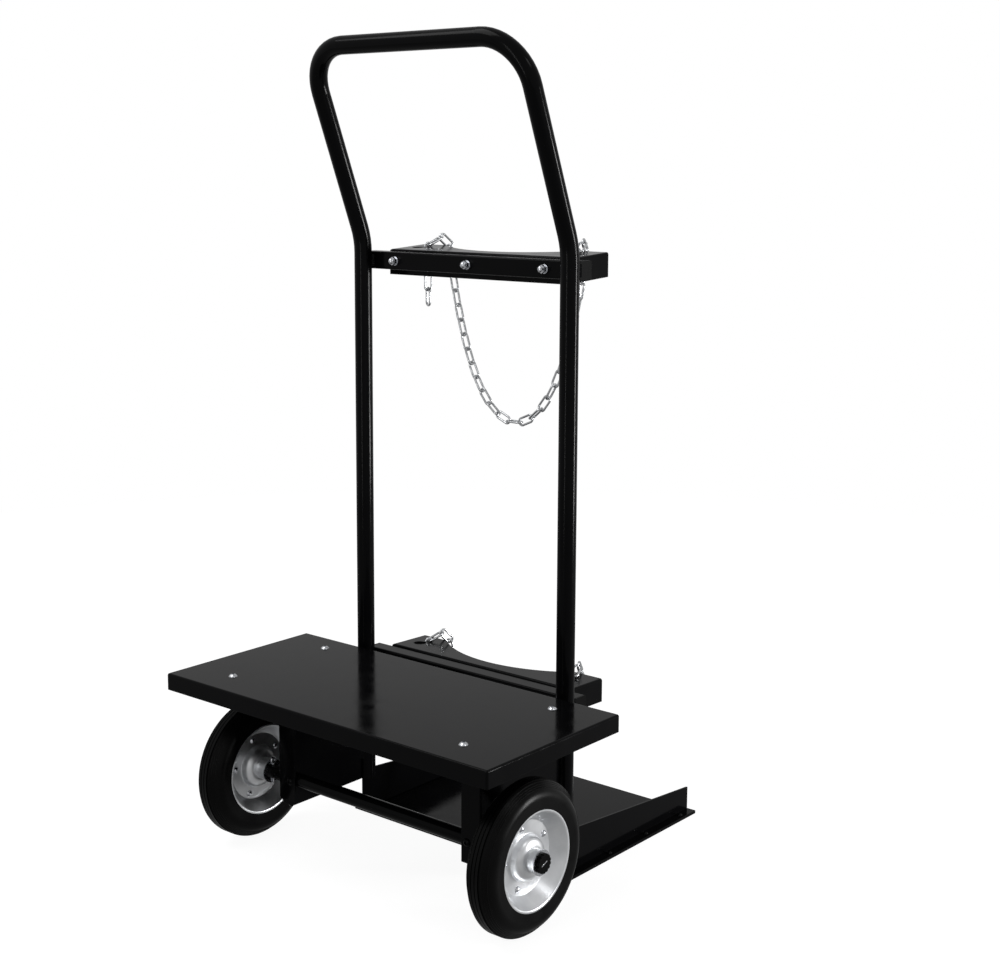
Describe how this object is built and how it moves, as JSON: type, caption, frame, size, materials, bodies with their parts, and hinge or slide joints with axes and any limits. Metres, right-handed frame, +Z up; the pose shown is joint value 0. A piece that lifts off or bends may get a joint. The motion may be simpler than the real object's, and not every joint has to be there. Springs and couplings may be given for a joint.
{
  "type": "welding trolley",
  "caption": "Two-wheeled welding trolley: bent tube frame with a leaning handle, sheet tray for the machine, base plate and chained saddles for a gas cylinder.",
  "frame": {"origin": "on the floor, under the middle of the overall box", "axes": "+X along the axle to the right seen from the handle, +Y forward to the gas cylinder side, +Z up"},
  "size_m": [0.58, 0.588, 1.1225],
  "materials": {
    "powder_coat": "gloss black powder coat on sheet and tube",
    "weld": "gloss black powder coat over weld beads",
    "zinc": "bright zinc plate on fasteners",
    "chain_zinc": "bright zinc plate on welded chain",
    "rim_zinc": "bright zinc plate on pressed rims",
    "rubber": "matt black moulded rubber",
    "plastic": "black moulded plastic",
    "nylon": "natural nylon"
  },
  "bodies": {
    "root": {"frame_tube": "powder_coat", "frame_welds": "weld", "upper_cross_bar": "powder_coat", "lower_cross_bar": "powder_coat", "bar_plugs": "plastic", "upper_saddle": "powder_coat", "lower_saddle": "powder_coat", "saddle_bolts": "zinc", "saddle_washers": "zinc", "saddle_nuts": "zinc", "tray": "powder_coat", "tray_screws": "zinc", "tray_nuts": "zinc", "left_side_plate": "powder_coat", "right_side_plate": "powder_coat", "base_plate": "powder_coat", "base_rivets": "powder_coat", "axle": "powder_coat", "axle_bolts": "powder_coat", "axle_pins": "zinc", "inner_washers": "zinc", "outer_washers": "zinc", "hub_caps": "plastic", "upper_chain_ends": "chain_zinc", "lower_chain_ends": "chain_zinc"},
    "left_wheel": {"left_tyre": "rubber", "left_rim_outer": "rim_zinc", "left_rim_inner": "rim_zinc", "left_rim_rivets": "zinc", "left_hub": "rim_zinc", "left_bushes": "nylon"},
    "right_wheel": {"right_tyre": "rubber", "right_rim_outer": "rim_zinc", "right_rim_inner": "rim_zinc", "right_rim_rivets": "zinc", "right_hub": "rim_zinc", "right_bushes": "nylon"},
    "upper_chain": {"upper_chain_run": "chain_zinc"},
    "lower_chain": {"lower_chain_run": "chain_zinc"}
  },
  "joints": [
    {"name": "left_wheel_spin", "type": "hinge", "parent": "root", "child": "left_wheel", "pos_m": [-0.2477, -0.171, 0.1], "axis": [1, 0, 0], "continuous": true},
    {"name": "right_wheel_spin", "type": "hinge", "parent": "root", "child": "right_wheel", "pos_m": [0.2477, -0.171, 0.1], "axis": [1, 0, 0], "continuous": true},
    {"name": "upper_chain_swing", "type": "hinge", "parent": "root", "child": "upper_chain", "pos_m": [0, 0.10719, 0.84043], "axis": [1, 0, 0], "range_deg": [-20, 60]},
    {"name": "lower_chain_swing", "type": "hinge", "parent": "root", "child": "lower_chain", "pos_m": [0, 0.10712, 0.24837], "axis": [1, 0, 0], "range_deg": [-20, 60]}
  ]
}
